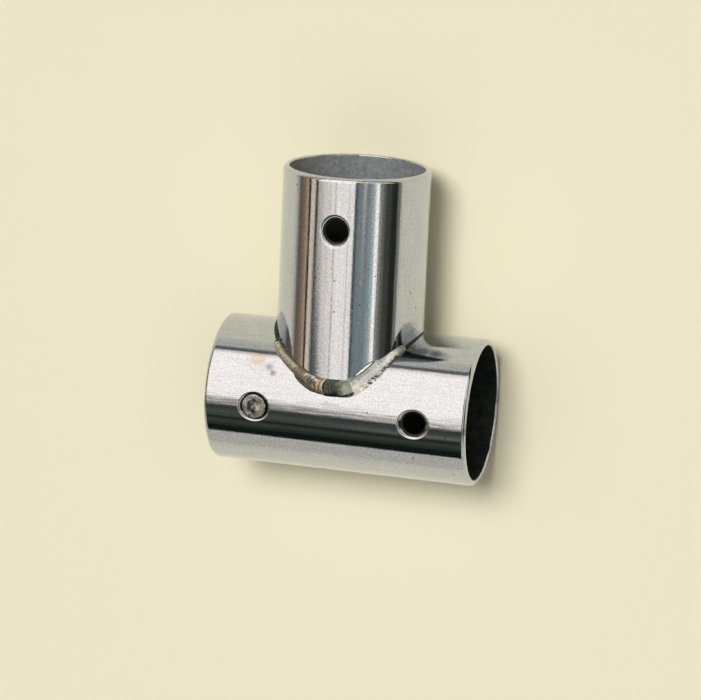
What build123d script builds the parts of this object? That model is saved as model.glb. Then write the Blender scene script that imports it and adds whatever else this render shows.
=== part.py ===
# Right angle tube connector: a branch tube coped and welded onto the side of a run tube of the same stock,
# with a tapped hole near each open end for the set screw that locks a rail. Millimetres.
# The run lies along X, the branch stands off it along Y, and the set screws go in from +Z.
# The origin is where the axes of the two tubes cross, so the part lies on the plane Z = -tube_diameter / 2.
import os
from math import cos, pi, sin, sqrt

from build123d import *

os.makedirs("parts", exist_ok=True)

# Tube stock, the same for the run and the branch
tube_diameter = 28.0
tube_wall = 1.2
rim_chamfer = 0.35  # on the outer edge of each open end
rim_deburr = 0.2  # on the inner edge of each open end

# From the point where the axes cross to each open end
run_left_reach = 24.5
run_right_reach = 26.5
branch_reach = 45.0

# Cope at the branch's lower end
cope_tip_land = 0.8  # wall left where its two sharp tips are ground flat

# Tapped holes, one near each open end, modelled at the thread's pitch diameter
hole_inset = 10.0  # from the open end to the hole's middle
thread_diameter = 5.0
thread_pitch = 0.8
countersink_width = 0.5  # of its ring around the hole

# Set screw in the run's left hole
screw_length = 4.0
screw_recess = 0.15  # of its face below the tube's crown
screw_clearance = 0.02  # all round, between the modelled thread and its hole
screw_chamfer = 0.35
socket_across_flats = 2.5
socket_depth = 1.8
cup_diameter = 2.4
cup_depth = 0.6

# Weld bead around the joint, across it and out of it, over the cope's tips and down in the crotches
bead_tip_width = 3.3
bead_tip_height = 0.85
bead_crotch_width = 4.2
bead_crotch_height = 1.3
bead_tip_lap = 0.65  # from a ground tip up to the middle of the bead
bead_sharpness = 3.5  # of the bead's turn under the tips
bead_steps = 16  # sections along each half of the bead

# Worked out from the sizes above
tube_radius = tube_diameter / 2
bore_radius = tube_radius - tube_wall
tip_reach = sqrt(tube_radius**2 - (tube_radius - cope_tip_land) ** 2)
hole_radius = (thread_diameter - 0.65 * thread_pitch) / 2
left_hole_x = hole_inset - run_left_reach
right_hole_x = run_right_reach - hole_inset
branch_hole_y = branch_reach - hole_inset
screw_radius = hole_radius - screw_clearance
screw_face_z = tube_radius - screw_recess


def cut_tapped_hole(x, y):
    # Countersunk, down through the upper wall of the tube in hand
    with Locations((x, y, tube_radius)):
        CounterSinkHole(hole_radius, hole_radius + countersink_width, depth=tube_radius, counter_sink_angle=90)


# Run tube
with BuildPart() as run_tube:
    with BuildSketch(Plane.YZ.offset(-run_left_reach)):
        Circle(tube_radius)
        Circle(bore_radius, mode=Mode.SUBTRACT)
    extrude(amount=run_left_reach + run_right_reach)
    rims = run_tube.edges().filter_by(GeomType.CIRCLE).group_by(SortBy.RADIUS)
    chamfer(rims[0], rim_deburr)
    rims = run_tube.edges().filter_by(GeomType.CIRCLE).group_by(SortBy.RADIUS)
    chamfer(rims[-1], rim_chamfer)
    cut_tapped_hole(left_hole_x, 0)
    cut_tapped_hole(right_hole_x, 0)
run_tube.part.label = "run_tube"

# Branch tube, coped to sit on the run, with the cope's sharp tips ground flat
with BuildPart() as branch_tube:
    with BuildSketch(Plane.ZX.offset(tip_reach)):
        Circle(tube_radius)
        Circle(bore_radius, mode=Mode.SUBTRACT)
    extrude(amount=branch_reach - tip_reach)
    rim = branch_tube.faces().sort_by(Axis.Y)[-1].edges().sort_by(SortBy.RADIUS)
    chamfer(rim[0], rim_deburr)
    rim = branch_tube.faces().sort_by(Axis.Y)[-1].edges().sort_by(SortBy.RADIUS)
    chamfer(rim[-1], rim_chamfer)
    with BuildSketch(Plane.YZ):
        Circle(tube_radius)
    extrude(amount=tube_diameter, both=True, mode=Mode.SUBTRACT)
    cut_tapped_hole(0, branch_hole_y)
branch_tube.part.label = "branch_tube"


def bead_middle(angle):
    # The bead's middle line on the branch's surface, at an angle around the branch from its +Z side:
    # it follows the seam of the two tubes, and rounds off the seam's sharp turn under each tip
    seam = abs(tube_radius * sin(angle))
    lowest = tip_reach + bead_tip_lap
    reach = (seam**bead_sharpness + lowest**bead_sharpness) ** (1 / bead_sharpness)
    return Vector(tube_radius * sin(angle), reach, tube_radius * cos(angle))


def bead_plane(angle):
    # The plane across the bead, with its local Y pointing out of the joint
    small = 0.001
    here = bead_middle(angle)
    along = (bead_middle(angle + small) - bead_middle(angle - small)).normalized()
    off_branch = Vector(sin(angle), 0, cos(angle))
    off_run = Vector(0, here.Y, here.Z).normalized()
    out = off_branch + off_run
    out = out - along * out.dot(along)
    return Plane(origin=here, x_dir=out.cross(along), z_dir=along)


# Weld bead: one half lofted around the front of the joint, mirrored to the back, less both tubes
with BuildPart() as weld_bead:
    for step in range(bead_steps + 1):
        angle = pi * (step / bead_steps - 0.5)
        crotch = sin(angle) ** 2
        width = bead_tip_width + (bead_crotch_width - bead_tip_width) * crotch
        height = bead_tip_height + (bead_crotch_height - bead_tip_height) * crotch
        with BuildSketch(bead_plane(angle)):
            Ellipse(width / 2, height)
    loft()
    mirror(about=Plane.XY)
    with BuildSketch(Plane.YZ):
        Circle(tube_radius)
    extrude(amount=tube_diameter, both=True, mode=Mode.SUBTRACT)
    with BuildSketch(Plane.ZX.offset(tip_reach)):
        Circle(tube_radius)
    extrude(amount=tube_diameter, mode=Mode.SUBTRACT)
weld_bead.part.label = "weld_bead"

# Set screw: chamfered ends, a cup point and a hex socket, its thread left plain
with BuildPart() as set_screw:
    with BuildSketch(Plane(origin=(left_hole_x, 0, screw_face_z), x_dir=(1, 0, 0), z_dir=(0, -1, 0))):
        with BuildLine():
            Polyline(
                (0, 0),
                (screw_radius - screw_chamfer, 0),
                (screw_radius, -screw_chamfer),
                (screw_radius, screw_chamfer - screw_length),
                (screw_radius - screw_chamfer, -screw_length),
                (cup_diameter / 2, -screw_length),
                (0, cup_depth - screw_length),
                close=True,
            )
        make_face()
    revolve(axis=Axis((left_hole_x, 0, 0), (0, 0, 1)))
    with BuildSketch(Plane.XY.offset(screw_face_z)):
        with Locations((left_hole_x, 0)):
            RegularPolygon(socket_across_flats / 2, 6, major_radius=False)
    extrude(amount=-socket_depth, mode=Mode.SUBTRACT)
set_screw.part.label = "set_screw"

for piece in (run_tube, branch_tube, weld_bead, set_screw):
    export_step(piece.part, f"parts/{piece.part.label}.step")
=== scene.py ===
import math

import bpy
import numpy as np
from mathutils import Matrix, Vector


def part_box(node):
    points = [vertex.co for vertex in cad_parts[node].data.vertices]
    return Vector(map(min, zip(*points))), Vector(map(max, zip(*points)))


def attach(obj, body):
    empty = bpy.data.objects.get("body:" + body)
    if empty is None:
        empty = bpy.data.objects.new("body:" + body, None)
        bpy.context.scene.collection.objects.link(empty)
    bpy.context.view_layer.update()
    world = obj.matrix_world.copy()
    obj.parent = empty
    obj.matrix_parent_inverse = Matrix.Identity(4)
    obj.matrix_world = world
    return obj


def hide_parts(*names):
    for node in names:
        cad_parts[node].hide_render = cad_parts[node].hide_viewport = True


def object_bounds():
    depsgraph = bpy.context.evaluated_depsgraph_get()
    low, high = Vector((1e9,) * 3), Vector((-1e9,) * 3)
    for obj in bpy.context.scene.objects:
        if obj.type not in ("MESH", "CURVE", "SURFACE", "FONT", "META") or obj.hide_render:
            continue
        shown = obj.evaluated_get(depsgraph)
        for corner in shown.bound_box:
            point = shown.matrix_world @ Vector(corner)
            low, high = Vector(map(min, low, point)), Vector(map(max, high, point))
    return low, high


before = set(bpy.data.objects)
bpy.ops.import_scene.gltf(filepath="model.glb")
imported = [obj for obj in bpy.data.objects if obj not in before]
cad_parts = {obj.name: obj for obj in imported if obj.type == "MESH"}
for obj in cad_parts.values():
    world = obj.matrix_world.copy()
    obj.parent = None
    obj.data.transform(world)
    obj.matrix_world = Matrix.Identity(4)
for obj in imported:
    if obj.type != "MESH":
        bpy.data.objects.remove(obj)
cadLow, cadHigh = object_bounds()

scene = bpy.context.scene
mm = 0.001
pi = math.pi

# Sizes below are in millimetres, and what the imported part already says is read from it
runLow, runHigh = (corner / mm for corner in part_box("run_tube"))
branchLow, branchHigh = (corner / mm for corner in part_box("branch_tube"))
screwLow, screwHigh = (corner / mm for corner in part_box("set_screw"))


def anglesAround(count):
    angles = np.arange(count) * 2 * pi / count
    return angles, np.sin(angles), np.cos(angles)


def stacked(x, y, z):
    return np.stack(np.broadcast_arrays(x, y, z), -1)


def unit(vectors):
    return vectors / np.maximum(np.linalg.norm(vectors, axis=-1, keepdims=True), 1e-12)


# Meshes are gathered in a shell: points, normals and faces, each face with its material's number
def newShell():
    return {"points": [], "normals": [], "faces": [], "kinds": [], "count": 0}


def addPoints(shell, points, normals):
    shape = points.shape[:-1]
    amount = int(np.prod(shape))
    shell["points"].append(points.reshape(-1, 3))
    shell["normals"].append(normals.reshape(-1, 3))
    numbers = np.arange(shell["count"], shell["count"] + amount).reshape(shape)
    shell["count"] += amount
    return numbers


def addFaces(shell, faces, kind=0):
    shell["faces"].extend(faces)
    shell["kinds"].extend([kind] * len(faces))


def joinRings(shell, first, second, kind=0):
    count = len(first)
    faces = []
    for i in range(count):
        j = (i + 1) % count
        faces.append((first[i], first[j], second[j], second[i]))
    addFaces(shell, faces, kind)


def addRing(shell, last, points, normals, kind):
    ring = addPoints(shell, points, normals)
    joinRings(shell, last, ring, kind)
    return ring


def surfaceNormals(shape, a, b, towards=None):
    # shape(a, b) gives points, and the normal comes from its slopes
    small = 1e-4
    slopeA = shape(a + small, b) - shape(a - small, b)
    slopeB = shape(a, b + small) - shape(a, b - small)
    normals = unit(np.cross(slopeA, slopeB))
    if towards is not None:
        normals *= np.sign((normals * towards).sum(-1, keepdims=True))
    return normals


def finishShell(shell, name, materials, turn=None, sharpAngle=None):
    points = np.concatenate(shell["points"])
    normals = np.concatenate(shell["normals"])
    used = np.zeros(len(points), bool)
    faces = []
    for face in shell["faces"]:
        corners = points[list(face)]
        across = np.cross(corners[2] - corners[0], corners[-1] - corners[1])
        if across @ normals[list(face)].sum(0) < 0:
            face = face[::-1]
        faces.append(face)
        used[list(face)] = True
    renumber = np.cumsum(used) - 1
    faces = [tuple(int(renumber[v]) for v in face) for face in faces]
    points, normals = points[used], normals[used]
    if turn is not None:
        points, normals = points @ turn.T, normals @ turn.T
    mesh = bpy.data.meshes.new(name)
    mesh.from_pydata((points * mm).tolist(), [], faces)
    for material in materials:
        mesh.materials.append(material)
    mesh.polygons.foreach_set("material_index", shell["kinds"])
    mesh.shade_smooth()
    if sharpAngle is None:
        mesh.normals_split_custom_set_from_vertices(normals.tolist())
    else:
        mesh.set_sharp_from_angle(angle=math.radians(sharpAngle))
    mesh.validate(clean_customdata=False)
    piece = bpy.data.objects.new(name, mesh)
    scene.collection.objects.link(piece)
    print(name, len(mesh.polygons), "faces")
    return piece


def standFor(piece, node):
    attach(piece, "root")
    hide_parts(node)


tube = {
    "radius": runHigh.z,
    "wall": 1.2,
    "outerEdge": 0.85,  # rounding of an open end
    "innerEdge": 0.3,
    "edgeRings": 6,
    "around": 180,  # columns of faces around the tube
    "longStep": 2.5,  # between rows of faces, away from the holes
    "holeCells": 16,  # cells along each side of the square of faces that holds a hole
    "holeHalf": 3.9,  # half that square
    "squareRings": (0.34, 0.67),  # between that square and the hole's reach, on the outer wall
    "boreRings": (0.3, 0.65),  # and on the inner one
    "copeRows": 12,  # rows that follow the branch's cope
    "copeReach": 20.0,  # where they have become straight
    "copeSunk": 0.03,  # how deep the cope sits in the run
}
tube["bore"] = tube["radius"] - tube["wall"]
polished, bored, threaded = 0, 1, 2  # the materials of a tube's faces

hole = {
    "inset": 10.0,
    "major": 2.5,  # thread radii
    "minor": 2.1,
    "pitch": 0.8,
    "coneRadius": 2.95,  # where the countersink would meet a flat top
    "buffed": 0.32,  # how wide the countersink's rim is rounded
    "reach": 3.3,  # how far from the hole's middle its rim still bends the wall
    "rimRings": 14,
    "threadRows": 26,
    "runIn": 5,  # the thread is at its full depth after one fifth of the wall
}


# A tube is built along its own axis u, with its holes towards +z and s to the side
def wallGrid(shell, radius, facing, rows, holeRows, kind):
    count = tube["around"]
    _, sines, cosines = anglesAround(count)
    normals = facing * stacked(0 * rows, sines, cosines)
    numbers = addPoints(shell, stacked(rows, radius * sines, radius * cosines), normals)
    half = tube["holeCells"] // 2
    faces = []
    for i in range(len(rows) - 1):
        atHole = any(start <= i < start + 2 * half for start in holeRows)
        for j in range(count):
            if atHole and min(j, count - 1 - j) < half:
                continue
            k = (j + 1) % count
            faces.append((numbers[i, j], numbers[i, k], numbers[i + 1, k], numbers[i + 1, j]))
    addFaces(shell, faces, kind)
    loops = []
    for start in holeRows:
        end = start + 2 * half
        loop = [numbers[i, -half] for i in range(start, end)]
        loop += [numbers[end, j] for j in range(-half, half)]
        loop += [numbers[i, half] for i in range(end, start, -1)]
        loop += [numbers[start, j] for j in range(half, -half, -1)]
        loops.append(loop)
    return numbers, loops


def softMin(a, b, softness):
    # The smaller of the two, rounded over where they are within the softness of each other
    return np.minimum(a, b) - np.maximum(softness - np.abs(a - b), 0) ** 2 / (4 * softness)


def threadWave(turn):
    # 0 at the root of the thread, 1 at its crest, with a small flat on each
    wave = np.abs(2 * (turn - np.floor(turn)) - 1)
    return np.clip(1.25 * wave - 0.125, 0, 1)


def addHole(shell, middle, outerLoop, innerLoop):
    points = np.concatenate(shell["points"])
    outer, inner = tube["radius"], tube["bore"]

    def polar(loop):
        edge = points[loop]
        return np.arctan2(edge[:, 1], edge[:, 0] - middle), np.hypot(edge[:, 1], edge[:, 0] - middle)

    def entry(distance, angle):
        s = distance * np.sin(angle)
        wallTop = np.sqrt(outer**2 - s**2)
        cone = outer - hole["coneRadius"] + distance
        return stacked(middle + distance * np.cos(angle), s, softMin(wallTop, cone, hole["buffed"]))

    def innerWall(distance, angle):
        s = distance * np.sin(angle)
        return stacked(middle + distance * np.cos(angle), s, np.sqrt(inner**2 - s**2))

    outerAngle, outerEdge = polar(outerLoop)
    innerAngle, innerEdge = polar(innerLoop)

    # From the square of faces down over the buffed rim to the top of the thread
    distances = [outerEdge + (hole["reach"] - outerEdge) * share for share in tube["squareRings"]]
    for share in np.linspace(0, 1, hole["rimRings"] + 1):
        distances.append(hole["reach"] + (hole["major"] - hole["reach"]) * share + 0 * outerEdge)
    last = outerLoop
    for distance in distances:
        normals = surfaceNormals(entry, distance, outerAngle)
        last = addRing(shell, last, entry(distance, outerAngle), normals, polished)

    # The thread, down to the bore
    top = entry(hole["major"], outerAngle)[:, 2]

    def thread(share, angle):
        bottom = np.sqrt(inner**2 - (hole["minor"] * np.sin(angle)) ** 2)
        z = top + (bottom - top) * share
        cut = np.clip(share * hole["runIn"], 0, 1) * threadWave(z / hole["pitch"] + angle / (2 * pi))
        radius = hole["major"] - (hole["major"] - hole["minor"]) * cut
        return stacked(middle + radius * np.cos(angle), radius * np.sin(angle), z)

    for share in np.linspace(0, 1, hole["threadRows"] + 1):
        angle = outerAngle + ((innerAngle - outerAngle + pi) % (2 * pi) - pi) * share
        ring = thread(share, angle)
        inwards = stacked(middle - ring[:, 0], -ring[:, 1], 0)
        last = addRing(shell, last, ring, surfaceNormals(thread, share, angle, inwards), threaded)

    # Out over the bore's wall to its own square of faces
    start = np.hypot(ring[:, 0] - middle, ring[:, 1])
    for share in (0, *tube["boreRings"]):
        ring = innerWall(start + (innerEdge - start) * share, innerAngle)
        normals = stacked(0, -ring[:, 1], -ring[:, 2]) / inner
        last = addRing(shell, last, ring, normals, bored if share else threaded)
    joinRings(shell, last, innerLoop, bored)


def addRim(shell, outerRow, innerRow, end, way):
    _, sines, cosines = anglesAround(tube["around"])
    quarter = np.linspace(0, pi / 2, tube["edgeRings"] + 1)[1:]
    steps = [(turn, tube["radius"], tube["outerEdge"], 1) for turn in quarter]
    steps += [(turn, tube["bore"], tube["innerEdge"], -1) for turn in quarter[::-1]]
    last = outerRow
    for turn, wall, edge, facing in steps:
        u = end - way * edge * (1 - math.sin(turn))
        radius = wall - facing * edge * (1 - math.cos(turn))
        outwards = facing * math.cos(turn)
        normals = stacked(way * math.sin(turn), outwards * sines, outwards * cosines)
        last = addRing(shell, last, stacked(u, radius * sines, radius * cosines), normals, polished)
    joinRings(shell, last, innerRow, polished)


def rowsBetween(start, end, step):
    amount = max(1, round(abs(end - start) / step))
    return [start + (end - start) * i / amount for i in range(amount)]


def tubeRows(start, end, middles):
    # Rows of faces from one end to the other, close together across each hole's square
    rows, holeRows, here = [], [], start
    cell = 2 * tube["holeHalf"] / tube["holeCells"]
    for middle in middles:
        rows += rowsBetween(here, middle - tube["holeHalf"], tube["longStep"])
        holeRows.append(len(rows))
        rows += rowsBetween(middle - tube["holeHalf"], middle + tube["holeHalf"], cell)
        here = middle + tube["holeHalf"]
    rows += rowsBetween(here, end, tube["longStep"]) + [end]
    return rows, holeRows


def addWalls(shell, middles, rowsFor):
    # The outer and the inner wall, joined at the holes. rowsFor gives the rows for a radius and its edge
    rows, holeRows = rowsFor(tube["radius"], tube["outerEdge"])
    outerGrid, outerLoops = wallGrid(shell, tube["radius"], 1, rows, holeRows, polished)
    rows, holeRows = rowsFor(tube["bore"], tube["innerEdge"])
    innerGrid, innerLoops = wallGrid(shell, tube["bore"], -1, rows, holeRows, bored)
    for middle, outerLoop, innerLoop in zip(middles, outerLoops, innerLoops):
        addHole(shell, middle, outerLoop, innerLoop)
    return outerGrid, innerGrid


def makeRunTube(materials):
    shell = newShell()
    left, right = runLow.x, runHigh.x
    middles = [left + hole["inset"], right - hole["inset"]]

    def rowsFor(radius, edge):
        rows, holeRows = tubeRows(left + edge, right - edge, middles)
        return np.array(rows)[:, None], holeRows

    outerGrid, innerGrid = addWalls(shell, middles, rowsFor)
    addRim(shell, outerGrid[0], innerGrid[0], left, -1)
    addRim(shell, outerGrid[-1], innerGrid[-1], right, 1)
    standFor(finishShell(shell, "runTube", materials), "run_tube")


def makeBranchTube(materials):
    shell = newShell()
    end = branchHigh.y
    middle = end - hole["inset"]
    _, _, cosines = anglesAround(tube["around"])
    reach = tube["copeReach"]

    def rowsFor(radius, edge):
        seam = np.sqrt(tube["radius"] ** 2 - (radius * cosines) ** 2)
        seam = np.maximum(seam, branchLow.y) - tube["copeSunk"]
        shares = np.arange(tube["copeRows"]) / tube["copeRows"]
        lower = [seam + (reach - seam) * share for share in shares]
        rows, holeRows = tubeRows(reach, end - edge, [middle])
        upper = [row + 0 * seam for row in rows]
        return np.array(lower + upper), [row + len(lower) for row in holeRows]

    outerGrid, innerGrid = addWalls(shell, [middle], rowsFor)
    addRim(shell, outerGrid[-1], innerGrid[-1], end, 1)
    joinRings(shell, outerGrid[0], innerGrid[0], bored)
    turn = np.array([[0.0, -1.0, 0.0], [1.0, 0.0, 0.0], [0.0, 0.0, 1.0]])  # its axis lies along +Y
    standFor(finishShell(shell, "branchTube", materials, turn), "branch_tube")


bead = {
    "landReach": 5.315,  # from the run's axis to the bead's middle under each ground tip
    "sharpness": 3.5,
    "along": 960,  # rings of faces along the bead
    "across": 56,
    # Angle around the branch, drift towards the branch, width, height. The front pass runs from cap to cap
    "shape": [
        (-180, 0, 3.3, 0.85), (-130, 0, 3.6, 1.0), (-102, 0, 1.6, 0.4), (-86, 0, 1.2, 0.34),
        (-57.5, -0.4, 1.1, 0.3), (-56, -0.75, 1.9, 0.78), (-48, -0.7, 2.1, 0.85), (-40, -0.25, 2.2, 0.85),
        (-29, 0.3, 2.35, 0.85), (-25, 0.33, 2.95, 0.95), (-12, 0.25, 3.3, 0.84), (0, 0.05, 3.35, 0.84),
        (16, 0.1, 3.4, 0.8), (28, 0.55, 3.6, 0.74), (40, 0.9, 3.6, 0.78), (56, 0.85, 3.1, 0.7),
        (62.5, 0.5, 2.4, 0.6), (64, 0.1, 1.1, 0.26), (84, 0, 0.9, 0.14), (100, 0, 0.9, 0.14),
        (130, 0, 3.6, 1.0), (180, 0, 3.3, 0.85),
    ],
    "caps": (-56.5, 63.5),
    "capLength": 5,  # degrees over which a cap rounds off
    "capLeast": (0.45, 0.35),  # share of the width and of the height left at its end
    # Angle, length of one ripple, its depth
    "ripples": [
        (-180, 0.8, 0.08), (-90, 0.8, 0.05), (-57, 0.42, 0.02), (-30, 0.42, 0.03), (-25, 0.7, 0.085),
        (3, 0.7, 0.07), (12, 0.6, 0.012), (40, 0.55, 0.02), (62, 0.6, 0.05),
        (90, 0.8, 0.05), (180, 0.8, 0.08),
    ],
    "rippleLag": 0.9,  # how far a ripple's ends trail its middle
    "rippleMiddle": 0.6,  # the height of a ripple that is left where it was
    # How strong, then size, weight and start of each wave
    "widthWaves": (0.05, [(7.3, 0.5, 0.4), (3.1, 0.35, 2.0), (1.3, 0.25, 4.0)]),
    "spacingWaves": (0.35, [(5.2, 0.6, 1.0), (2.3, 0.4, 3.3)]),
    "depthWaves": (0.5, [(4.1, 0.6, 0.2), (1.1, 0.6, 5.0)]),
    "lipAngle": -4.2,  # end of the second pass: a lip with a crater behind it
    "lipBend": 3.5,
    "lipMiddle": (94, 85),  # degrees across the bead, and half of the lip's length
    "lipHeight": 0.1,
    "lipPlace": (-0.9, 1.1),  # from the end of the pass, width
    "craterDepth": 0.3,
    "craterStart": (-0.4, 1.2),
    "craterEnd": (3, 12),
    "lumpHeight": 0.12,
    "lumpPlace": (-20, 4),
    "lumpTurn": 0.6,
    # Where the bead lies flat, as a fillet: angle, share
    "blend": [(6, 0), (18, 1), (38, 1), (50, 0.25), (64, 0)],
    "flatReach": (0.55, 0.6),  # share of the width up the branch, along the run
    "flatPeak": 0.12,
    "flatSunk": 0.02,
    "flatDepth": 0.5,  # of its underside
    "flatRipple": 0.5,
}


def waves(position, kind):
    # Smooth wobble along the bead
    strength, parts = bead[kind]
    return strength * sum(weight * np.sin(2 * pi * position / size + start) for size, weight, start in parts)


def bump(position, middle, width):
    return np.exp(-(((position - middle) / width) ** 2))


def easeStep(position, start, end):
    share = np.clip((position - start) / (end - start), 0, 1)
    return share * share * (3 - 2 * share)


def makeWeldBead(materials):
    radius = tube["radius"]
    shape, ripples, blend = (np.array(bead[key], float) for key in ("shape", "ripples", "blend"))

    def middle(angle):
        # The bead's middle line follows the seam of the tubes, and rounds off its sharp turn under each tip
        seam = np.abs(radius * np.sin(angle))
        power = bead["sharpness"]
        reach = (seam**power + bead["landReach"] ** power) ** (1 / power)
        return stacked(radius * np.sin(angle), reach, radius * np.cos(angle))

    fine = np.linspace(-pi, pi, 7201)
    path = np.concatenate([[0], np.cumsum(np.linalg.norm(np.diff(middle(fine), axis=0), axis=1))])
    path -= path[len(fine) // 2]

    def lookUp(degrees, table, *columns):
        return [np.interp(degrees, table[:, 0], table[:, column]) for column in columns]

    def ontoTube(points, axis):
        # Straight out or in to the surface of the tube that lies along this axis
        moved = points * (radius / np.linalg.norm(np.delete(points, axis, -1), axis=-1))[..., None]
        moved[..., axis] = points[..., axis]
        return moved

    def liftAt(degrees, turn, exposed):
        # Ripples, the lip and crater at the end of the second pass, and a lump before them
        length = np.interp(np.radians(degrees), fine, path)
        pitch, depth = lookUp(degrees, ripples, 1, 2)
        lag = bead["rippleLag"] * np.cos(turn) ** 2
        ripple = np.abs(np.sin(pi * ((length - lag) / pitch + waves(length, "spacingWaves"))))
        lift = (ripple - bead["rippleMiddle"]) * depth * (1 + waves(length + 2 * np.cos(turn), "depthWaves"))
        lipMiddle, lipHalf = bead["lipMiddle"]
        past = degrees - bead["lipAngle"] - bead["lipBend"] * ((np.degrees(turn) - lipMiddle) / lipHalf) ** 2
        crater = easeStep(past, *bead["craterStart"]) * (1 - easeStep(past, *bead["craterEnd"]))
        lift = lift + bead["lipHeight"] * bump(past, *bead["lipPlace"])
        lift = lift - bead["craterDepth"] * crater * exposed**0.5
        lump = bump(degrees, *bead["lumpPlace"]) * np.clip(np.sin(turn + bead["lumpTurn"]), 0, 1)
        return lift + bead["lumpHeight"] * lump

    def section(angle, turn):
        # The bead's skin, at an angle around the branch and a turn around the bead's middle line
        small = 1e-3
        here = middle(angle)
        along = unit(middle(angle + small) - middle(angle - small))
        offBranch = stacked(np.sin(angle), 0, np.cos(angle))
        offRun = unit(here * np.array([0, 1, 1]))
        out = offBranch + offRun
        out = unit(out - along * (out * along).sum(-1, keepdims=True))
        side = np.cross(out, along)  # towards the branch
        degrees = (np.degrees(angle) + 180) % 360 - 180
        drift, width, height = lookUp(degrees, shape, 1, 2, 3)
        # Round off both caps of the front pass
        leastWidth, leastHeight = bead["capLeast"]
        for cap, way in zip(bead["caps"], (1, -1)):
            inside = np.clip(way * (degrees - cap) / bead["capLength"], 0, 1)
            near = (np.abs(degrees - cap) < 1.5 * bead["capLength"]) & (inside > 0)
            rounded = np.where(near, np.sqrt(np.maximum(1 - (1 - inside) ** 2, 0)), 1)
            width = width * (leastWidth + (1 - leastWidth) * rounded)
            height = height * (leastHeight + (1 - leastHeight) * rounded)
        width = width * (1 + waves(np.interp(np.radians(degrees), fine, path), "widthWaves"))
        exposed = np.clip(np.sin(turn), 0, 1)
        lift = liftAt(degrees, turn, exposed)
        across = np.cos(turn) * width / 2 + drift
        full = here + side * across[..., None] + out * (np.sin(turn) * (height + lift * exposed))[..., None]
        # The flat pass: a fillet that runs out onto both tubes
        upReach, runReach = bead["flatReach"]
        onBranch = ontoTube(here + np.cross(offBranch, along) * (upReach * width + drift)[..., None], 1)
        onRun = ontoTube(here + np.cross(along, offRun) * (runReach * width - drift)[..., None], 0)
        share = np.clip(turn / pi, 0, 1)[..., None]
        peak = here + out * bead["flatPeak"]
        flat = (1 - share) ** 2 * onBranch + 2 * share * (1 - share) * peak + share**2 * onRun
        under = bead["flatSunk"] + bead["flatDepth"] * np.clip(-np.sin(turn), 0, 1)
        flat = flat + out * (bead["flatRipple"] * lift * exposed - under)[..., None]
        flat = flat + np.clip((turn - pi) / pi, 0, 1)[..., None] * (onBranch - onRun)
        flatness = np.interp(degrees, blend[:, 0], blend[:, 1], 0, 0)
        return full + (flat - full) * easeStep(flatness, 0, 1)[..., None]

    theta = np.linspace(-pi, pi, bead["along"] + 1)
    turns, _, _ = anglesAround(bead["across"])
    angleGrid, turnGrid = np.meshgrid(theta, turns, indexing="ij")
    points = section(angleGrid, turnGrid)
    normals = surfaceNormals(section, angleGrid, turnGrid, points - middle(angleGrid))
    shell = newShell()
    numbers = addPoints(shell, points, normals)
    for i in range(bead["along"]):
        joinRings(shell, numbers[i], numbers[i + 1])
    piece = finishShell(shell, "weldBead", materials)
    # Where each point lies on the bead, in degrees, for the material
    for name, values in (("along", np.degrees(angleGrid)), ("across", np.degrees(turnGrid))):
        attribute = piece.data.attributes.new(name, "FLOAT", "POINT")
        attribute.data.foreach_set("value", values.astype(np.float32).ravel())
    standFor(piece, "weld_bead")


screw = {
    "major": 2.45,
    "minor": 2.02,
    "chamfer": 0.15,
    "faceEdge": 0.05,  # rounding between the face and the chamfer
    "socket": 2.5,  # across flats
    "socketDepth": 1.8,
    "socketLead": 0.12,
    "markRadius": 0.35,  # drill's mark in the socket's floor
    "markDepth": 0.25,
    "markEdge": (0.7, 0.08),  # share of the hexagon, depth there
    "ringShares": (0.35, 0.7, 1),  # of the socket's walls and of the flat face
    "cupRadius": 1.2,
    "cupPoint": 0.15,  # radius
    "cupDepth": 0.6,
    "around": 96,
    "threadRows": 70,
    "sharpAngle": 38,  # steeper edges aren't shaded smooth
}
screwFlat, screwSide = 0, 1  # the materials of its faces


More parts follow.
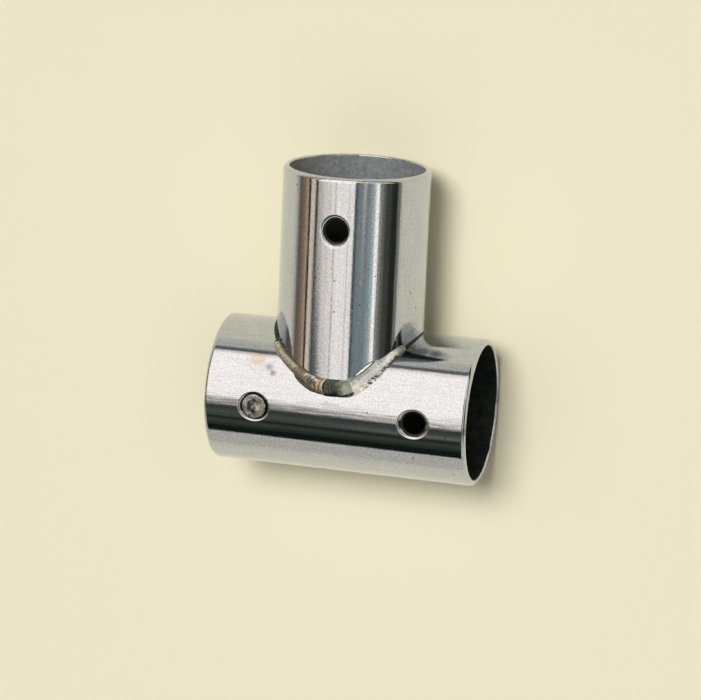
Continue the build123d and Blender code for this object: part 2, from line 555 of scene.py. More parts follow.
def makeSetScrew(materials):
    centre = np.array([(screwLow.x + screwHigh.x) / 2, 0, 0])
    top, bottom = screwHigh.z, screwLow.z
    angles, sines, cosines = anglesAround(screw["around"])
    hexagon = screw["socket"] / 2 / np.cos((angles + pi / 6) % (pi / 3) - pi / 6)
    depth, lead, faceEdge = screw["socketDepth"], screw["socketLead"], screw["faceEdge"]
    major, deep = screw["major"], screw["major"] - screw["minor"]
    up, down, inwards, outwards = (0, 1), (0, -1), (-1, 0), (1, 0)
    rings = []

    def ring(radius, z, facing):
        rings.append((centre + stacked(radius * cosines, radius * sines, z), facing))

    # From the mark in the socket's floor up its walls and out over the face
    floorZ = top - depth
    edgeShare, edgeDepth = screw["markEdge"]
    ring(screw["markRadius"], floorZ - screw["markDepth"], up)
    ring(edgeShare * hexagon, floorZ - edgeDepth, up)
    ring(hexagon, floorZ, up)
    for share in screw["ringShares"]:
        ring(hexagon, floorZ + (depth - lead) * share, inwards)
    ring(hexagon + lead, top, inwards)
    chamferRadius = major - screw["chamfer"]
    for share in screw["ringShares"]:
        ring(hexagon + lead + (chamferRadius - faceEdge - hexagon - lead) * share, top, up)
    faceRings = len(rings)
    ring(chamferRadius, top - 0.6 * faceEdge, up)
    # Down the thread, and over the cup point
    for share in np.linspace(0, 1, screw["threadRows"] + 1):
        z = top - faceEdge + (bottom - top + 2 * faceEdge) * share
        most = min(major, chamferRadius + min(top - z, z - bottom))
        cut = deep * (1 - threadWave(z / hole["pitch"] + angles / (2 * pi) + 0.5))
        ring(np.minimum(most, major - cut), z, outwards)
    ring(chamferRadius, bottom, down)
    ring(screw["cupRadius"], bottom, down)
    ring(screw["cupPoint"], bottom + screw["cupDepth"], down)

    # The normals given here only turn each face the right way out
    shell = newShell()
    numbers = []
    for points, (sideways, upwards) in rings:
        radial = unit((points - centre) * np.array([1, 1, 0]))
        numbers.append(addPoints(shell, points, sideways * radial + np.array([0, 0, upwards])))
    for i in range(len(numbers) - 1):
        joinRings(shell, numbers[i], numbers[i + 1], screwFlat if i < faceRings else screwSide)
    addFaces(shell, [tuple(numbers[0]), tuple(numbers[-1])], screwFlat)
    piece = finishShell(shell, "setScrew", materials, sharpAngle=screw["sharpAngle"])
    standFor(piece, "set_screw")


# Shader helpers
def addNode(tree, kind, **settings):
    node = tree.nodes.new(kind)
    for name, value in settings.items():
        setattr(node, name, value)
    return node


def feed(tree, value, socket):
    # Another node's output is linked, and a number, a place or a colour of three parts is set
    if isinstance(value, bpy.types.NodeSocket):
        tree.links.new(value, socket)
    else:
        socket.default_value = (*value, 1) if socket.type == "RGBA" else value


def mathNode(tree, operation, first, *others):
    # More than two values are taken one after the other
    for other in others or (None,):
        node = addNode(tree, "ShaderNodeMath", operation=operation)
        feed(tree, first, node.inputs[0])
        if other is not None:
            feed(tree, other, node.inputs[1])
        first = node.outputs[0]
    return first


def multiply(tree, *values):
    return mathNode(tree, "MULTIPLY", *values)


def add(tree, *values):
    return mathNode(tree, "ADD", *values)


def rampNode(tree, value, low, high, fromLow=0.0, fromHigh=1.0, smooth=False):
    node = addNode(tree, "ShaderNodeMapRange", interpolation_type="SMOOTHSTEP" if smooth else "LINEAR")
    names = ("Value", "From Min", "From Max", "To Min", "To Max")
    for name, number in zip(names, (value, fromLow, fromHigh, low, high)):
        feed(tree, number, node.inputs[name])
    return node.outputs["Result"]


def rising(tree, value, start, end, smooth=False):
    return rampNode(tree, value, 0, 1, start, end, smooth)


def falling(tree, value, start, end, smooth=False):
    return rampNode(tree, value, 1, 0, start, end, smooth)


def mixColour(tree, share, first, second, blend="MIX"):
    node = addNode(tree, "ShaderNodeMix", data_type="RGBA", blend_type=blend)
    for place, value in ((0, share), (6, first), (7, second)):
        feed(tree, value, node.inputs[place])
    return node.outputs[2]


def newGroup(name, inputs, outputs):
    # An input's first value also says whether it is a number, a place or a colour
    group = bpy.data.node_groups.new(name, "ShaderNodeTree")
    for label, value in inputs.items():
        kind = "Float" if isinstance(value, float) else "Vector" if len(value) == 3 else "Color"
        socket = group.interface.new_socket(label, in_out="INPUT", socket_type="NodeSocket" + kind)
        socket.default_value = value
    for label, kind in outputs.items():
        group.interface.new_socket(label, in_out="OUTPUT", socket_type="NodeSocket" + kind)
    entry = group.nodes.new("NodeGroupInput")
    leave = group.nodes.new("NodeGroupOutput")
    return group, entry.outputs, leave.inputs


def putOut(group, result, **values):
    for label, value in values.items():
        group.links.new(value, result[label])
    return group


def placeGroup(tree, group, **values):
    node = addNode(tree, "ShaderNodeGroup", node_tree=group)
    for label, value in values.items():
        feed(tree, value, node.inputs[label.replace("_", " ")])
    return node.outputs


def noiseNode(tree, vector, scale, detail=2.0, roughness=0.5):
    node = addNode(tree, "ShaderNodeTexNoise")
    for name, value in zip(("Vector", "Scale", "Detail", "Roughness"), (vector, scale, detail, roughness)):
        feed(tree, value, node.inputs[name])
    return node.outputs["Fac"]


def splitNode(tree, vector):
    node = addNode(tree, "ShaderNodeSeparateXYZ")
    tree.links.new(vector, node.inputs[0])
    return node.outputs


def toneRamp(tree, value, stops, low, high):
    # Colours or greys along a value, each at its own place between low and high
    node = addNode(tree, "ShaderNodeValToRGB")
    tree.links.new(rising(tree, value, low, high), node.inputs[0])
    elements = node.color_ramp.elements
    for i, (place, tone) in enumerate(stops):
        share = (place - low) / (high - low)
        element = elements[i] if i < 2 else elements.new(share)
        element.position = share
        element.color = (*tone, 1) if isinstance(tone, tuple) else (tone, tone, tone, 1)
    return node.outputs["Color"]


polish = {
    "colour": (0.63, 0.665, 0.765),
    "spotDepth": 0.30,  # how much darker the grain's spots are
    "roughness": (0.035, 0.095),
    "bumpDistance": 0.010,
    "squeeze": 0.05,  # lengthways, which draws the lines out along the tube
    # Scale per millimetre, detail and roughness of each noise
    "grain": (3.6, 2.0, 0.7),
    "spots": (3.4, 2.0, 0.7),
    "dents": (0.12, 1.0, 0.4),
    "lines": (2.6, 3.0, 0.6),
    "smear": (0.5, 4.0, 0.6),
    "scratches": (3.0, 3.0, 0.7),
    # Share of each in the bump's height
    "grainHeight": 0.5,
    "lineHeight": 0.35,
    "dentHeight": 0.8,
    "pitHeight": 0.5,
    "pitScale": 0.3,
    "pitSize": 0.06,
    "pitColour": (0.10, 0.09, 0.08),
    "scratchColour": (0.13, 0.135, 0.13),
}


def makePolishGroup():
    # Fine grain, polishing lines, dents and pits. Point is in millimetres, Stretched is squeezed lengthways
    group, given, result = newGroup(
        "polishMarks",
        {"Point": (0, 0, 0), "Stretched": (0, 0, 0), "Pit Size": 0.05},
        {"Height": "Float", "Pits": "Float", "Smear": "Float", "Mottle": "Float"},
    )
    point, stretched = given["Point"], given["Stretched"]
    grain, spots, dents = (noiseNode(group, point, *polish[key]) for key in ("grain", "spots", "dents"))
    lines, smear = (noiseNode(group, stretched, *polish[key]) for key in ("lines", "smear"))
    cells = addNode(group, "ShaderNodeTexVoronoi")
    group.links.new(point, cells.inputs["Vector"])
    cells.inputs["Scale"].default_value = polish["pitScale"]
    pits = falling(group, mathNode(group, "DIVIDE", cells.outputs["Distance"], given["Pit Size"]), 0.5, 1.2)
    lineHeight = multiply(group, lines, polish["lineHeight"])
    grainHeight = multiply(group, grain, polish["grainHeight"])
    height = add(group, grainHeight, lineHeight, multiply(group, dents, polish["dentHeight"]))
    height = mathNode(group, "SUBTRACT", height, multiply(group, pits, polish["pitHeight"]))
    mottle = rising(group, add(group, spots, lineHeight), 0.48, 0.86)
    return putOut(group, result, Height=height, Pits=pits, Smear=smear, Mottle=mottle)


def makeMottleGroup():
    # Dull metal: two tones in blotches, with dark specks
    group, given, result = newGroup(
        "mottledMetal",
        {
            "Point": (0, 0, 0), "Scale": 1.0, "Speck Scale": 6.0, "Specks": 0.5,
            "Dark": (0.2, 0.2, 0.2, 1), "Light": (0.5, 0.5, 0.5, 1),
        },
        {"Colour": "Color", "Height": "Float", "Mottle": "Float"},
    )
    mottle = noiseNode(group, given["Point"], given["Scale"], 4.0, 0.65)
    speck = noiseNode(group, given["Point"], given["Speck Scale"], 2.0, 0.6)
    colour = mixColour(group, rising(group, mottle, 0.3, 0.7), given["Dark"], given["Light"])
    speckMask = multiply(group, rising(group, speck, 0.58, 0.66), given["Specks"])
    colour = mixColour(group, speckMask, colour, (0.03, 0.03, 0.028))
    return putOut(group, result, Colour=colour, Height=add(group, mottle, speck), Mottle=mottle)


def makeStainGroup():
    # A stain around one place, from its middle's colour to its rim's: heat tint, and painted shade where its
    # colours are dark grey
    group, given, result = newGroup(
        "heatTintAndPaintedShade",
        {
            "Point": (0, 0, 0), "Middle": (0, 0, 0), "Reach": 4.0, "Strength": 1.0,
            "Inner": (0.5, 0.5, 0.8, 1), "Rim": (1, 0.9, 0.7, 1),
        },
        {"Tint": "Color"},
    )
    away = addNode(group, "ShaderNodeVectorMath", operation="DISTANCE")
    group.links.new(given["Point"], away.inputs[0])
    group.links.new(given["Middle"], away.inputs[1])
    blotch = rampNode(group, noiseNode(group, given["Point"], 1.1, 3.0, 0.6), -0.35, 0.35)
    share = add(group, mathNode(group, "DIVIDE", away.outputs["Value"], given["Reach"]), blotch)
    tone = mixColour(group, rising(group, share, 0.25, 0.6, True), given["Inner"], given["Rim"])
    amount = multiply(group, falling(group, share, 0.3, 1.0, True), given["Strength"])
    return putOut(group, result, Tint=mixColour(group, amount, (1.0, 1.0, 1.0), tone))


def makePatchGroup():
    # A soft ellipse on the bead, placed by degrees along and across it
    names = ["Slant", "Softness"]
    names += [part + way for way in ("Along", "Across") for part in ("", "Middle ", "Half ")]
    group, given, result = newGroup("beadPatch", {name: 0.0 for name in names}, {"Mask": "Float"})
    across = mathNode(group, "SUBTRACT", given["Across"], given["Middle Across"])
    slanted = multiply(group, across, given["Slant"])
    along = mathNode(group, "SUBTRACT", given["Along"], given["Middle Along"], slanted)
    along = mathNode(group, "DIVIDE", along, given["Half Along"])
    across = mathNode(group, "DIVIDE", across, given["Half Across"])
    away = mathNode(group, "SQRT", add(group, multiply(group, along, along), multiply(group, across, across)))
    inner = mathNode(group, "SUBTRACT", 1.0, given["Softness"])
    outer = add(group, 1.0, given["Softness"])
    return putOut(group, result, Mask=falling(group, away, inner, outer, True))


def newMaterial(name):
    material = bpy.data.materials.new(name)
    material.use_nodes = True
    tree = material.node_tree
    coordinates = addNode(tree, "ShaderNodeTexCoord")
    toMillimetres = addNode(tree, "ShaderNodeVectorMath", operation="SCALE")
    tree.links.new(coordinates.outputs["Object"], toMillimetres.inputs[0])
    toMillimetres.inputs["Scale"].default_value = 1 / mm
    return material, tree, tree.nodes["Principled BSDF"], toMillimetres.outputs[0]


def bumpInto(tree, shader, height, distance):
    node = addNode(tree, "ShaderNodeBump")
    tree.links.new(height, node.inputs["Height"])
    node.inputs["Distance"].default_value = distance * mm
    tree.links.new(node.outputs["Normal"], shader.inputs["Normal"])


def makePolishedSteel(name, lengthways, tintsAndPaintedShade, worn):
    material, tree, shader, point = newMaterial(name)
    squeeze = addNode(tree, "ShaderNodeVectorMath", operation="MULTIPLY")
    tree.links.new(point, squeeze.inputs[0])
    squeeze.inputs[1].default_value = [polish["squeeze"] if axis == lengthways else 1.0 for axis in range(3)]
    stretched = squeeze.outputs[0]
    marks = placeGroup(tree, polishMarks, Point=point, Stretched=stretched, Pit_Size=polish["pitSize"])
    spotColour = tuple(part * (1 - polish["spotDepth"]) for part in polish["colour"])
    colour = mixColour(tree, marks["Mottle"], spotColour, polish["colour"])
    # Heat tint, and painted shade in the crotches
    for place, reach, strength, inner, rim in tintsAndPaintedShade:
        tintAndShadeLayer = placeGroup(
            tree, heatTintAndPaintedShade, Point=point, Middle=place, Reach=reach, Strength=strength, Inner=inner, Rim=rim
        )
        colour = mixColour(tree, 1.0, colour, tintAndShadeLayer["Tint"], "MULTIPLY")
    if worn:
        # Scratches along the crown, on the side away from the branch
        y = splitNode(tree, point)["Y"]
        streaks = rampNode(tree, noiseNode(tree, stretched, *polish["scratches"]), -1, 1, 0.38, 0.62)
        place = add(tree, y, multiply(tree, streaks, 1.1))
        band = multiply(tree, falling(tree, place, -0.4, 1.9), rising(tree, y, -1.6, -0.8), worn)
        colour = mixColour(tree, band, colour, polish["scratchColour"])
    colour = mixColour(tree, marks["Pits"], colour, polish["pitColour"])
    tree.links.new(colour, shader.inputs["Base Color"])
    shader.inputs["Metallic"].default_value = 1.0
    rough = rampNode(tree, marks["Smear"], *polish["roughness"], 0.35, 0.75)
    tree.links.new(rough, shader.inputs["Roughness"])
    bumpInto(tree, shader, marks["Height"], polish["bumpDistance"])
    return material


def makeDullMetal(
    name, dark, light, scale, speckScale, specks, metallic, roughness, bumpDistance, paintedShadeDepths=None
):
    material, tree, shader, point = newMaterial(name)
    mottle = placeGroup(
        tree, mottledMetal, Point=point, Scale=scale, Speck_Scale=speckScale, Specks=specks,
        Dark=dark, Light=light,
    )
    colour = mottle["Colour"]
    if paintedShadeDepths:
        # Painted shade: darker from the open end down the bore
        depth = falling(tree, splitNode(tree, point)["Y"], *paintedShadeDepths, True)
        colour = mixColour(tree, depth, colour, (0.012, 0.015, 0.013))
    tree.links.new(colour, shader.inputs["Base Color"])
    shader.inputs["Metallic"].default_value = metallic
    rough = rampNode(tree, mottle["Mottle"], roughness + 0.08, roughness - 0.08, 0.3, 0.7)
    tree.links.new(rough, shader.inputs["Roughness"])
    bumpInto(tree, shader, mottle["Height"], bumpDistance)
    return material


weldLook = {
    # Degrees along the bead, and its colour there: the weld's own grey-brown, with painted highlights where
    # it is near white and painted shade where it is near black in the crotches
    "tones": [
        (-180, (0.36, 0.34, 0.30)), (-100, (0.34, 0.32, 0.28)), (-86, (0.08, 0.08, 0.07)),
        (-58, (0.06, 0.06, 0.055)), (-56, (0.90, 0.90, 0.85)), (-50, (0.86, 0.85, 0.80)),
        (-40, (0.78, 0.75, 0.69)), (-29, (0.62, 0.59, 0.51)), (-26, (0.32, 0.31, 0.26)),
        (-10, (0.30, 0.29, 0.23)), (-8, (0.48, 0.42, 0.33)), (-5, (0.50, 0.43, 0.34)),
        (2, (0.30, 0.31, 0.29)), (11, (0.55, 0.55, 0.51)), (16, (0.92, 0.91, 0.89)),
        (40, (0.93, 0.93, 0.92)), (45, (0.55, 0.56, 0.54)), (60, (0.42, 0.43, 0.41)),
        (64, (0.04, 0.04, 0.038)), (88, (0.05, 0.05, 0.045)), (112, (0.34, 0.32, 0.28)),
        (180, (0.36, 0.34, 0.30)),
    ],
    "roughness": [
        (-180, 0.42), (-58, 0.45), (-28, 0.42), (-20, 0.34), (4, 0.3),
        (14, 0.14), (38, 0.12), (46, 0.25), (64, 0.4), (180, 0.42),
    ],
    # Middle along and across, half sizes, slant, softness, colour. The patches named so are painted
    # highlights and painted shade
    "patches": {
        "painted shade on the branch flank": (-34, 20, 25, 40, 0.0, 0.35, (0.14, 0.125, 0.10)),
        "painted highlight on the second pass": (-15, 60, 6, 20, 0.0, 0.3, (0.88, 0.87, 0.83)),
        "painted shade on the second pass": (-15, 72, 5, 22, 0.03, 0.5, (0.06, 0.065, 0.05)),
        "beige": (14.5, 104, 3.5, 34, 0.0, 0.5, (0.52, 0.51, 0.46)),
        "painted highlight specks": (49, 104, 6, 24, 0.0, 0.6, (0.97, 0.97, 0.95)),
        "lower ridge": (49, 150, 12, 16, 0.0, 0.4, (0.30, 0.31, 0.29)),
        "branch side shade": (19, 26, 8, 30, 0.0, 0.35, (0.30, 0.36, 0.34)),
    },
    "patchStrength": 0.9,
    "shine": (34.0, 112.0, 19.0, 36.0, 0.0, 0.35),  # where the flat pass is half glaze
    "paintedGlint": (30.5, 32.0, 7.0, 8.0, 0.1, 0.1),  # a painted highlight along the branch
    "paintedGlintOutline": (30.5, 32.0, 8.5, 16.0, 0.1, 0.1),
    "paintedGlintColour": (0.92, 0.92, 0.88),
    "mottle": ((0.45, 0.44, 0.41), (1.0, 1.0, 1.0)),
    # Painted shade in the crater, a painted highlight on the lip, painted shadow along the toes
    "crater": (0.045, 0.06, 0.062),
    "lip": (0.80, 0.80, 0.76),
    "toeShadow": (0.012, 0.012, 0.01),
    "toeSpecks": (0.02, 0.02, 0.018),
    "paintedDarkOutline": (0.01, 0.01, 0.01),
    "bumpDistance": 0.035,
}


def makeWeldMetal():
    material, tree, shader, point = newMaterial("weldMetal")
    along = addNode(tree, "ShaderNodeAttribute", attribute_name="along").outputs["Fac"]
    across = addNode(tree, "ShaderNodeAttribute", attribute_name="across").outputs["Fac"]
    shake = noiseNode(tree, point, 1.7, 4.0, 0.65)
    shakeFine = noiseNode(tree, point, 5.0, 2.0, 0.6)
    shakenAlong = add(tree, along, rampNode(tree, shake, -5, 5, 0.1, 0.9))
    shakenAcross = add(tree, across, rampNode(tree, shakeFine, -26, 26, 0.1, 0.9))

    def patchMask(place, first, second):
        middleAlong, middleAcross, halfAlong, halfAcross, slant, softness = place
        patch = placeGroup(
            tree, beadPatch, Along=first, Across=second, Middle_Along=middleAlong, Middle_Across=middleAcross,
            Half_Along=halfAlong, Half_Across=halfAcross, Slant=slant, Softness=softness,
        )
        return patch["Mask"]

    # Along the bead: its own tone, painted highlights and painted shade
    colour = toneRamp(tree, shakenAlong, weldLook["tones"], -180, 180)
    rough = toneRamp(tree, shakenAlong, weldLook["roughness"], -180, 180)
    dark, light = weldLook["mottle"]
    mottle = placeGroup(
        tree, mottledMetal, Point=point, Scale=2.6, Speck_Scale=4.2, Specks=0.9, Dark=dark, Light=light
    )
    leftPart = rampNode(tree, along, 1, 0.55, 10, 18)
    colour = mixColour(tree, leftPart, colour, mixColour(tree, 1.0, colour, mottle["Colour"], "MULTIPLY"))
    # Some patches are painted highlights and painted shade
    for name, (*place, tone) in weldLook["patches"].items():
        mask = patchMask(place, shakenAlong, shakenAcross)
        mask.node.label = name
        colour = mixColour(tree, multiply(tree, mask, weldLook["patchStrength"]), colour, tone)
    # The lip at the end of the second pass, and the crater behind it: a painted highlight on the lip and
    # painted shade in the crater
    lipMiddle, lipHalf = bead["lipMiddle"]
    bend = mathNode(tree, "DIVIDE", mathNode(tree, "SUBTRACT", across, lipMiddle), lipHalf)
    lipAt = add(tree, multiply(tree, bend, bend, bead["lipBend"]), bead["lipAngle"])
    past = mathNode(tree, "SUBTRACT", along, lipAt)
    craterEnd = add(tree, past, rampNode(tree, shake, -4, 4, 0.2, 0.8))
    crater = multiply(tree, rising(tree, past, 0.2, 0.8), falling(tree, craterEnd, 9.5, 16), 0.93)
    lip = multiply(tree, rising(tree, past, -0.9, -0.5), falling(tree, past, 0.0, 0.3), 0.8)
    # Painted shadow: black lines where the passes meet the tubes
    front = multiply(tree, rising(tree, shakenAlong, -58, -55), falling(tree, shakenAlong, 15, 21))
    runToe = multiply(tree, rising(tree, shakenAcross, 143, 151), falling(tree, across, 164, 172), front)
    upperFront = multiply(tree, rising(tree, shakenAlong, -56, -52), falling(tree, shakenAlong, 2, 8))
    branchToe = multiply(tree, falling(tree, shakenAcross, 8, 14), upperFront)
    toeShadow = mathNode(tree, "MAXIMUM", runToe, branchToe)
    # Specks of scale along the toe of the flat pass
    toeStart = multiply(tree, rising(tree, shakenAcross, 118, 132), rising(tree, along, 20, 26))
    toeEnd = multiply(tree, falling(tree, along, 56, 62), rising(tree, shake, 0.50, 0.56))
    toeSpecks = multiply(tree, toeStart, toeEnd)
    # A painted reflection: a bright glint along the branch, with a painted dark outline
    paintedDarkOutline = patchMask(weldLook["paintedGlintOutline"], along, across)
    paintedGlint = patchMask(weldLook["paintedGlint"], along, across)
    for mask, tone in (
        (crater, "crater"), (lip, "lip"), (toeShadow, "toeShadow"), (toeSpecks, "toeSpecks"),
        (paintedDarkOutline, "paintedDarkOutline"), (paintedGlint, "paintedGlintColour"),
    ):
        colour = mixColour(tree, mask, colour, weldLook[tone])
    tree.links.new(colour, shader.inputs["Base Color"])
    shine = patchMask(weldLook["shine"], shakenAlong, shakenAcross)
    glaze = mathNode(tree, "MAXIMUM", paintedDarkOutline, multiply(tree, shine, 0.5))
    tree.links.new(mathNode(tree, "SUBTRACT", 1.0, glaze), shader.inputs["Metallic"])
    tree.links.new(rough, shader.inputs["Roughness"])
    bumpInto(tree, shader, mottle["Height"], weldLook["bumpDistance"])
    return material


# The studio: what the polished metal reflects, as soft rectangles of light and dark around the object.
# Tilts are in degrees from straight up: side towards +X, far towards +Y. Turn is around from -Y, and rise is
# above the floor. Each panel lies over the ones before it.
studio = {
    "paper": (0.863, 0.807, 0.591),
    "room": (0.055, 0.055, 0.052),
    "floorHalf": 3.0,  # metres
}

# Ranges of tilt, from, to and softness, that many panels share
nearerHalf, fullTilt, upperSide = (-90, 33, 3), (-90, 90, 1), (-50, 10, 6)
# Name, side tilt, far tilt, colour
skyPanels = [
    ("ceiling", (-46.5, 13, 0.8), (-17.3, 71, 1.0), (0.78, 0.68, 0.54)),
    ("ceiling, nearer", (-36, 20, 3), (-17.3, 70.5, 1.0), (1.06, 0.95, 0.79)),
    ("ceiling, middle", (-21, 20, 9), (-17.3, 70, 1.0), (1.34, 1.22, 1.02)),
    ("ceiling light", (-48, 24, 2), (-5, 68, 5), (1.58, 1.44, 1.22)),
    ("ceiling seam", (-17.4, -15.8, 0.4), (-20, -6, 3), (0.50, 0.45, 0.38)),
    ("ceiling seam, right", (4.4, 5.6, 0.4), (-20, -6, 3), (0.75, 0.68, 0.57)),
    ("far right wall", (14, 90, 3), (30, 72, 5), (0.95, 0.86, 0.72)),
    ("blue wall seam", (13.4, 90, 0.5), nearerHalf, (0.045, 0.06, 0.058)),
    ("blue wall, dark", (15.2, 90, 0.6), nearerHalf, (0.13, 0.165, 0.16)),
    ("blue wall", (18.3, 90, 1.0), nearerHalf, (0.27, 0.315, 0.29)),
    ("blue wall stripe", (26, 31.5, 1.0), (-13.3, 33, 0.8), (0.66, 0.60, 0.49)),
    ("blue wall edge", (36, 90, 2.0), nearerHalf, (0.37, 0.44, 0.41)),
    ("blue wall light edge", (41.5, 90, 1.5), nearerHalf, (0.62, 0.66, 0.575)),
    ("strip light", (45.8, 90, 0.8), nearerHalf, (1.50, 1.40, 1.17)),
    ("strip edge", (52.0, 90, 0.5), nearerHalf, (0.08, 0.08, 0.065)),
    ("beside the strip", (53.2, 90, 0.8), nearerHalf, (0.42, 0.40, 0.33)),
    ("right wall", (56.5, 90, 2.0), nearerHalf, (0.17, 0.17, 0.135)),
    ("right wall, low", (62, 90, 2.0), nearerHalf, (0.075, 0.076, 0.058)),
    ("right corner", (72, 90, 3.0), nearerHalf, (0.03, 0.03, 0.021)),
    ("right skirting", (83, 90, 1.0), nearerHalf, (0.24, 0.23, 0.18)),
    ("left frame", (-90, -45.8, 0.5), fullTilt, (0.004, 0.003, 0.002)),
    ("left panel", (-90, -50.2, 0.6), fullTilt, (1.0, 0.83, 0.60)),
    ("left bar", (-90, -58.8, 0.5), fullTilt, (0.006, 0.004, 0.003)),
    ("left curtain, light", (-90, -62.6, 0.5), fullTilt, (0.53, 0.39, 0.25)),
    ("left curtain", (-90, -68, 2), fullTilt, (0.33, 0.225, 0.14)),
    ("left curtain, dark", (-90, -74, 2), fullTilt, (0.215, 0.15, 0.097)),
    ("left skirting", (-90, -84, 1.5), fullTilt, (0.25, 0.22, 0.16)),
]
nearPanels = [
    ("near wall", upperSide, (-90, -17.6, 1.0), (0.13, 0.15, 0.124)),
    ("near wall, lower", upperSide, (-90, -24, 2.0), (0.105, 0.115, 0.092)),
    ("near shelf", upperSide, (-90, -29.5, 1.0), (0.078, 0.088, 0.068)),
    ("near shelf, lit", (-16.4, -14.2, 0.7), (-34, -30, 1.0), (0.27, 0.24, 0.185)),
    ("near gap", upperSide, (-90, -36, 1.0), (0.026, 0.031, 0.022)),
    ("near rail", upperSide, (-90, -41, 1.0), (0.058, 0.067, 0.051)),
    ("near rail, lower", upperSide, (-90, -47.5, 1.0), (0.034, 0.041, 0.030)),
    ("near foot", upperSide, (-90, -53, 1.5), (0.009, 0.0135, 0.0085)),
]
# Name, turn (from, to, softness), rise, colour
lowPanels = [
    ("near paper edge", (-58, 58, 6), (-10, 23.9, 0.4), (1.0, 0.95, 0.80)),
    ("near paper", (-58, 58, 6), (-10, 22.9, 0.5), (0.655, 0.62, 0.49)),
    ("far line", (176, 250, 5), (-10, 16.5, 0.8), (0.16, 0.17, 0.14)),
    ("far paper", (176, 250, 5), (-10, 12.5, 0.8), (0.64, 0.61, 0.50)),
    ("left far paper", (232, 290, 8), (-10, 6.0, 2.0), (0.50, 0.49, 0.41)),
    ("far right corner", (98, 174, 4), (-10, 14, 3), (0.03, 0.034, 0.029)),
    ("paper all round", (-400, 400, 1), (-90, 1.2, 0.5), (0.80, 0.75, 0.57)),
]


def panelMask(tree, first, firstAngles, second, secondAngles):
    masks = []
    for value, (low, high, soft) in ((first, firstAngles), (second, secondAngles)):
        if low > -90:
            masks.append(rising(tree, value, low - soft, low + soft, True))
        if high < 90 or low > 90:
            masks.append(falling(tree, value, high - soft, high + soft, True))
    return multiply(tree, *masks) if len(masks) > 1 else masks[0]


def makeWorld():
    world = bpy.data.worlds.new("studioRoom")
    scene.world = world
    world.use_nodes = True
    tree = world.node_tree
    x, y, z = splitNode(tree, addNode(tree, "ShaderNodeTexCoord").outputs["Generated"])
    toDegrees = 180 / pi
    sideTilt = multiply(tree, mathNode(tree, "ARCTAN2", x, z), toDegrees)
    farTilt = multiply(tree, mathNode(tree, "ARCTAN2", y, z), toDegrees)
    turn = multiply(tree, mathNode(tree, "ARCTAN2", x, multiply(tree, y, -1.0)), toDegrees)
    # Panels behind the object have turns past 180, so the scale is cut at -70 instead
    turn = add(tree, turn, multiply(tree, mathNode(tree, "LESS_THAN", turn, -70.0), 360.0))
    rise = multiply(tree, mathNode(tree, "ARCSINE", z), toDegrees)
    colour = studio["room"]
    for panels, first, second in (
        (skyPanels, sideTilt, farTilt), (nearPanels, sideTilt, farTilt), (lowPanels, turn, rise),
    ):
        for name, firstAngles, secondAngles, shade in panels:
            mask = panelMask(tree, first, firstAngles, second, secondAngles)
            mask.node.label = name
            colour = mixColour(tree, mask, colour, shade)
    tree.links.new(colour, tree.nodes["Background"].inputs["Color"])
    world.cycles_visibility.diffuse = False  # the lamps light the floor
    print("world", len(tree.nodes), "nodes")


def makeFloor():
    material = bpy.data.materials.new("paleFloor")
    material.use_nodes = True
    shader = material.node_tree.nodes["Principled BSDF"]
    shader.inputs["Base Color"].default_value = (*studio["paper"], 1)
    shader.inputs["Roughness"].default_value = 1.0
    shader.inputs["Specular IOR Level"].default_value = 0.0
    half = studio["floorHalf"]
    corners = [(x * half, y * half, cadLow.z) for x, y in ((-1, -1), (1, -1), (1, 1), (-1, 1))]
    mesh = bpy.data.meshes.new("floor")
    mesh.from_pydata(corners, [], [(0, 1, 2, 3)])
    mesh.materials.append(material)
    floor = bpy.data.objects.new("floor", mesh)
    scene.collection.objects.link(floor)
    print("floor made")


lamps = {
    "keyStrength": 2.32,
    "keySpread": 22,  # degrees
    "keyFrom": (-0.07, 0.41, 1.0),
    "fillPower": 4.85,
    "fillSize": 1.6,  # metres
    "fillHeight": 0.9,
}


def addLamp(name, kind, energy):
    light = bpy.data.lights.new(name, kind)
    light.energy = energy
    lamp = bpy.data.objects.new(name, light)
    lamp.visible_glossy = False
    scene.collection.objects.link(lamp)
    return lamp


def makeLamps():
    key = addLamp("softKey", "SUN", lamps["keyStrength"])
    key.data.angle = math.radians(lamps["keySpread"])
    key.rotation_mode = "QUATERNION"
    key.rotation_quaternion = Vector(lamps["keyFrom"]).to_track_quat("Z", "Y")
    fill = addLamp("overheadFill", "AREA", lamps["fillPower"])
    fill.data.shape = "SQUARE"
    fill.data.size = lamps["fillSize"]
    fill.location = (0, 0, lamps["fillHeight"])
    print("lamps made")


# The photograph's camera, solved from the rims, the edges and the holes
view = {
    "aim": (0.16, 9.43, 0.0),
    "distance": 600.7,
    "azimuth": 133.1,
    "elevation": 69.64,
    "roll": -2.5,  # against +Y
    "lens": 161.8,
    "sensor": 36,
}


def makeCamera():
    azimuth, elevation = math.radians(view["azimuth"]), math.radians(view["elevation"])
    level = math.cos(elevation)
    back = Vector((math.sin(azimuth) * level, -math.cos(azimuth) * level, math.sin(elevation)))
    up = Vector((0, 1, 0))
    up = (up - back * up.dot(back)).normalized()
    right = up.cross(back)
    turn = math.radians(view["roll"])
    up, right = up * math.cos(turn) + right * math.sin(turn), right * math.cos(turn) - up * math.sin(turn)
    data = bpy.data.cameras.new("camera")
    data.lens = view["lens"]
    data.sensor_width = view["sensor"]
    data.clip_start, data.clip_end = 0.01, 20
    camera = bpy.data.objects.new("camera", data)
    place = (Vector(view["aim"]) + back * view["distance"]) * mm
    camera.matrix_world = Matrix.Translation(place) @ Matrix((right, up, back)).transposed().to_4x4()
    scene.collection.objects.link(camera)
    scene.camera = camera
    print("camera made")


polishMarks = makePolishGroup()
mottledMetal = makeMottleGroup()
heatTintAndPaintedShade = makeStainGroup()
beadPatch = makePatchGroup()
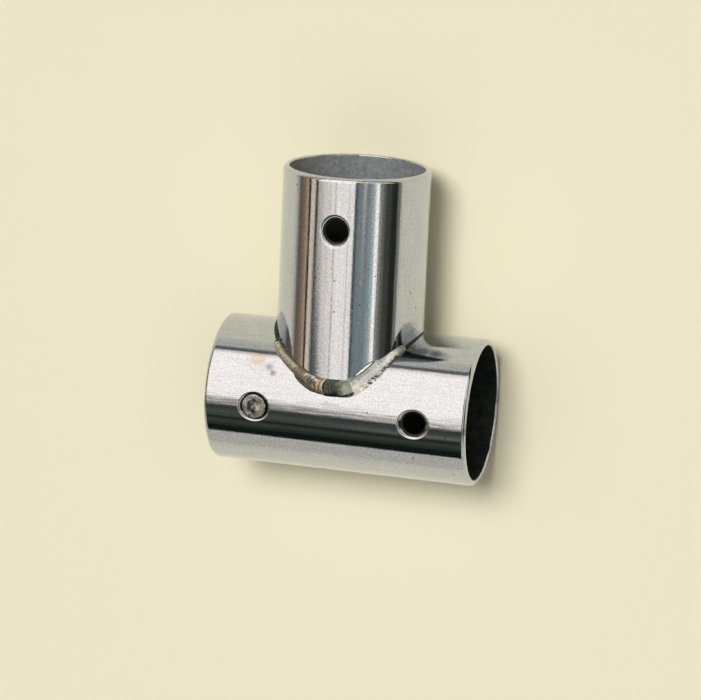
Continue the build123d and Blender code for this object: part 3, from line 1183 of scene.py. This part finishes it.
# Heat tint beside the bead, then painted shade in the right crotch: place, reach, strength, colour in the
# middle, at the rim
tintsAndPaintedShade = [
    ((-14.7, 8.6, 11.1), 3.0, 0.5, (0.95, 0.70, 0.40), (1.0, 0.90, 0.72)),
    ((-12.3, 7.5, 11.8), 1.5, 0.55, (0.26, 0.22, 0.42), (0.80, 0.70, 0.85)),
    ((-11.4, 6.5, 12.4), 1.1, 0.6, (0.20, 0.17, 0.30), (0.80, 0.72, 0.82)),
    # The dark grey ones are painted shade: the darker reflection in the crotch right of the branch
    ((13.3, 12.3, 6.6), 3.0, 0.8, (0.20, 0.22, 0.21), (0.55, 0.58, 0.57)),
    ((15.9, 12.3, 6.8), 2.6, 0.8, (0.20, 0.22, 0.21), (0.55, 0.58, 0.57)),
    ((18.6, 12.2, 6.9), 2.0, 0.8, (0.20, 0.22, 0.21), (0.55, 0.58, 0.57)),
]
# Painted shade in both crotches on the branch, where its reflection is darker
crotchPaintedShade = [
    ((13.0, 14.6, 5.2), 4.5, 0.7, (0.42, 0.47, 0.45), (0.75, 0.80, 0.78)),
    ((-13.4, 14.4, 4.0), 3.5, 0.6, (0.50, 0.55, 0.53), (0.80, 0.85, 0.83)),
]
runSteel = makePolishedSteel("runSteel", 0, tintsAndPaintedShade, 0.75)
branchSteel = makePolishedSteel("branchSteel", 1, crotchPaintedShade, 0)
# Dark tone, light tone, scale of blotches and of specks, share of specks, metallic, roughness, bump, depths
# of the painted shade in the bore
dullMetals = {
    # The run's bore, the threads and the screw's flanks are near black: painted shade inside the tube and the
    # holes
    "runBore": ((0.008, 0.012, 0.010), (0.05, 0.06, 0.055), 0.5, 3.0, 0.8, 0.8, 0.55, 0.03),
    "branchBore": ((0.20, 0.21, 0.215), (0.34, 0.35, 0.36), 1.2, 4.0, 0.5, 0.25, 0.5, 0.03, (27, 41)),
    "threadSteel": ((0.015, 0.016, 0.015), (0.06, 0.06, 0.055), 2.0, 5.0, 0.6, 0.9, 0.4, 0.01),
    "screwFace": ((0.10, 0.10, 0.09), (0.58, 0.58, 0.55), 0.8, 1.7, 1.0, 1.0, 0.42, 0.04),
    "screwFlank": ((0.02, 0.02, 0.02), (0.08, 0.08, 0.075), 2.0, 5.0, 0.5, 0.9, 0.4, 0.01),
}
runBore, branchBore, threadSteel, screwFace, screwFlank = (
    makeDullMetal(name, *look) for name, look in dullMetals.items()
)
weldMetal = makeWeldMetal()
print("materials made")

makeRunTube([runSteel, runBore, threadSteel])
makeBranchTube([branchSteel, branchBore, threadSteel])
makeWeldBead([weldMetal])
makeSetScrew([screwFace, screwFlank])
makeWorld()
makeFloor()
makeLamps()
makeCamera()
scene.view_settings.view_transform = "Standard"
